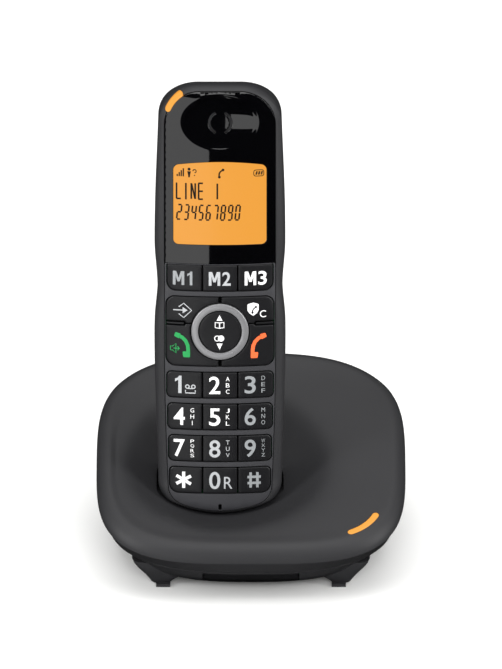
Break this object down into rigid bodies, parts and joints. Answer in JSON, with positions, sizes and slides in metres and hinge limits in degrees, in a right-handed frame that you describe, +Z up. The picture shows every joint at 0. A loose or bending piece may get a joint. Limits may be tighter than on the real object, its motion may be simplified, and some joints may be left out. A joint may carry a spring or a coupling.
{
  "type": "cordless phone with base",
  "caption": "Big-button cordless handset with an amber display, standing in a wide sloping charging base; keys, rocker, battery door and page key move.",
  "frame": {"origin": "middle of the base's footprint, on the surface it stands on", "axes": "+Z up, the base's front and the handset's face towards -Y, +X to the right as seen from the front"},
  "size_m": [0.114, 0.107, 0.1769],
  "materials": {
    "shell": "fine matt texture, moulded ABS",
    "keys": "satin moulded plastic",
    "window": "high gloss, clear over a black print",
    "ring": "satin silver plating",
    "light_pipe": "frosted amber",
    "lcd": "amber backlit",
    "diffuser": "white moulded light guide",
    "rubber": "matt",
    "silicone": "translucent moulded silicone",
    "screw_steel": "zinc plated",
    "circuit_board": "solder-resist green",
    "socket_plastic": "moulded nylon",
    "contact_metal": "nickel plated spring metal",
    "spring_steel": "nickel plated",
    "led": "clear resin",
    "antenna_brass": "stamped",
    "receiver_plastic": "moulded",
    "cell_sleeve": "shrink sleeve"
  },
  "bodies": {
    "base": {"base_top_shell": "shell", "base_bottom_shell": "shell", "base_rubber_feet": "rubber", "base_screws": "screw_steel", "base_circuit_board": "circuit_board", "base_charge_contacts": "contact_metal", "base_light_pipe": "light_pipe", "base_led": "led", "base_antenna": "antenna_brass", "charge_contact_board": "circuit_board", "line_socket": "socket_plastic", "power_socket": "socket_plastic", "page_switch": "spring_steel"},
    "page_key": {"page_key": "keys"},
    "handset": {"handset_front_shell": "shell", "handset_rear_shell": "shell", "face_plate": "shell", "display_window": "window", "lcd_panel": "lcd", "lcd_backlight": "diffuser", "earpiece_receiver": "receiver_plastic", "microphone": "spring_steel", "ringer_speaker": "receiver_plastic", "handset_circuit_board": "circuit_board", "keypad_mat": "silicone", "handset_light_pipe": "light_pipe", "handset_led": "led", "battery_cell_left": "cell_sleeve", "battery_cell_right": "cell_sleeve", "battery_contacts": "spring_steel", "handset_charge_contacts": "contact_metal", "handset_screws": "screw_steel"},
    "battery_door": {"battery_door": "shell"},
    "nav": {"nav_ring": "ring", "nav_key": "keys"},
    "contacts_key": {"contacts_key": "keys"},
    "mute_key": {"mute_key": "keys"},
    "talk_key": {"talk_key": "keys"},
    "end_key": {"end_key": "keys"},
    "memory_key_1": {"memory_key_1": "keys"},
    "memory_key_2": {"memory_key_2": "keys"},
    "memory_key_3": {"memory_key_3": "keys"},
    "key_1": {"key_1": "keys"},
    "key_2": {"key_2": "keys"},
    "key_3": {"key_3": "keys"},
    "key_4": {"key_4": "keys"},
    "key_5": {"key_5": "keys"},
    "key_6": {"key_6": "keys"},
    "key_7": {"key_7": "keys"},
    "key_8": {"key_8": "keys"},
    "key_9": {"key_9": "keys"},
    "key_star": {"key_star": "keys"},
    "key_0": {"key_0": "keys"},
    "key_hash": {"key_hash": "keys"}
  },
  "joints": [
    {"name": "handset_lift", "type": "slide", "parent": "base", "child": "handset", "axis": [0, 0.2079, 0.9781], "range_m": [0, 0.06]},
    {"name": "page_press", "type": "slide", "parent": "base", "child": "page_key", "axis": [0, 1, 0], "range_m": [0, 0.001], "stiffness_N_per_m": 900, "springref_m": -0.0004},
    {"name": "battery_door_slide", "type": "slide", "parent": "handset", "child": "battery_door", "axis": [0, -0.2079, -0.9781], "range_m": [0, 0.008]},
    {"name": "nav_rock", "type": "hinge", "parent": "handset", "child": "nav", "pos_m": [-0.0114, -0.00066, 0.08705], "axis": [1, 0, 0], "range_deg": [-3, 3], "stiffness_Nm_per_rad": 0.26},
    {"name": "contacts_key_press", "type": "slide", "parent": "handset", "child": "contacts_key", "axis": [0, 0.9781, -0.2079], "range_m": [0, 0.0008], "stiffness_N_per_m": 900, "springref_m": -0.0004},
    {"name": "mute_key_press", "type": "slide", "parent": "handset", "child": "mute_key", "axis": [0, 0.9781, -0.2079], "range_m": [0, 0.0008], "stiffness_N_per_m": 900, "springref_m": -0.0004},
    {"name": "talk_key_press", "type": "slide", "parent": "handset", "child": "talk_key", "axis": [0, 0.9781, -0.2079], "range_m": [0, 0.0008], "stiffness_N_per_m": 900, "springref_m": -0.0004},
    {"name": "end_key_press", "type": "slide", "parent": "handset", "child": "end_key", "axis": [0, 0.9781, -0.2079], "range_m": [0, 0.0008], "stiffness_N_per_m": 900, "springref_m": -0.0004},
    {"name": "memory_key_1_press", "type": "slide", "parent": "handset", "child": "memory_key_1", "axis": [0, 0.9781, -0.2079], "range_m": [0, 0.0008], "stiffness_N_per_m": 900, "springref_m": -0.0004},
    {"name": "memory_key_2_press", "type": "slide", "parent": "handset", "child": "memory_key_2", "axis": [0, 0.9781, -0.2079], "range_m": [0, 0.0008], "stiffness_N_per_m": 900, "springref_m": -0.0004},
    {"name": "memory_key_3_press", "type": "slide", "parent": "handset", "child": "memory_key_3", "axis": [0, 0.9781, -0.2079], "range_m": [0, 0.0008], "stiffness_N_per_m": 900, "springref_m": -0.0004},
    {"name": "key_1_press", "type": "slide", "parent": "handset", "child": "key_1", "axis": [0, 0.9781, -0.2079], "range_m": [0, 0.0008], "stiffness_N_per_m": 900, "springref_m": -0.0004},
    {"name": "key_2_press", "type": "slide", "parent": "handset", "child": "key_2", "axis": [0, 0.9781, -0.2079], "range_m": [0, 0.0008], "stiffness_N_per_m": 900, "springref_m": -0.0004},
    {"name": "key_3_press", "type": "slide", "parent": "handset", "child": "key_3", "axis": [0, 0.9781, -0.2079], "range_m": [0, 0.0008], "stiffness_N_per_m": 900, "springref_m": -0.0004},
    {"name": "key_4_press", "type": "slide", "parent": "handset", "child": "key_4", "axis": [0, 0.9781, -0.2079], "range_m": [0, 0.0008], "stiffness_N_per_m": 900, "springref_m": -0.0004},
    {"name": "key_5_press", "type": "slide", "parent": "handset", "child": "key_5", "axis": [0, 0.9781, -0.2079], "range_m": [0, 0.0008], "stiffness_N_per_m": 900, "springref_m": -0.0004},
    {"name": "key_6_press", "type": "slide", "parent": "handset", "child": "key_6", "axis": [0, 0.9781, -0.2079], "range_m": [0, 0.0008], "stiffness_N_per_m": 900, "springref_m": -0.0004},
    {"name": "key_7_press", "type": "slide", "parent": "handset", "child": "key_7", "axis": [0, 0.9781, -0.2079], "range_m": [0, 0.0008], "stiffness_N_per_m": 900, "springref_m": -0.0004},
    {"name": "key_8_press", "type": "slide", "parent": "handset", "child": "key_8", "axis": [0, 0.9781, -0.2079], "range_m": [0, 0.0008], "stiffness_N_per_m": 900, "springref_m": -0.0004},
    {"name": "key_9_press", "type": "slide", "parent": "handset", "child": "key_9", "axis": [0, 0.9781, -0.2079], "range_m": [0, 0.0008], "stiffness_N_per_m": 900, "springref_m": -0.0004},
    {"name": "key_star_press", "type": "slide", "parent": "handset", "child": "key_star", "axis": [0, 0.9781, -0.2079], "range_m": [0, 0.0008], "stiffness_N_per_m": 900, "springref_m": -0.0004},
    {"name": "key_0_press", "type": "slide", "parent": "handset", "child": "key_0", "axis": [0, 0.9781, -0.2079], "range_m": [0, 0.0008], "stiffness_N_per_m": 900, "springref_m": -0.0004},
    {"name": "key_hash_press", "type": "slide", "parent": "handset", "child": "key_hash", "axis": [0, 0.9781, -0.2079], "range_m": [0, 0.0008], "stiffness_N_per_m": 900, "springref_m": -0.0004}
  ]
}
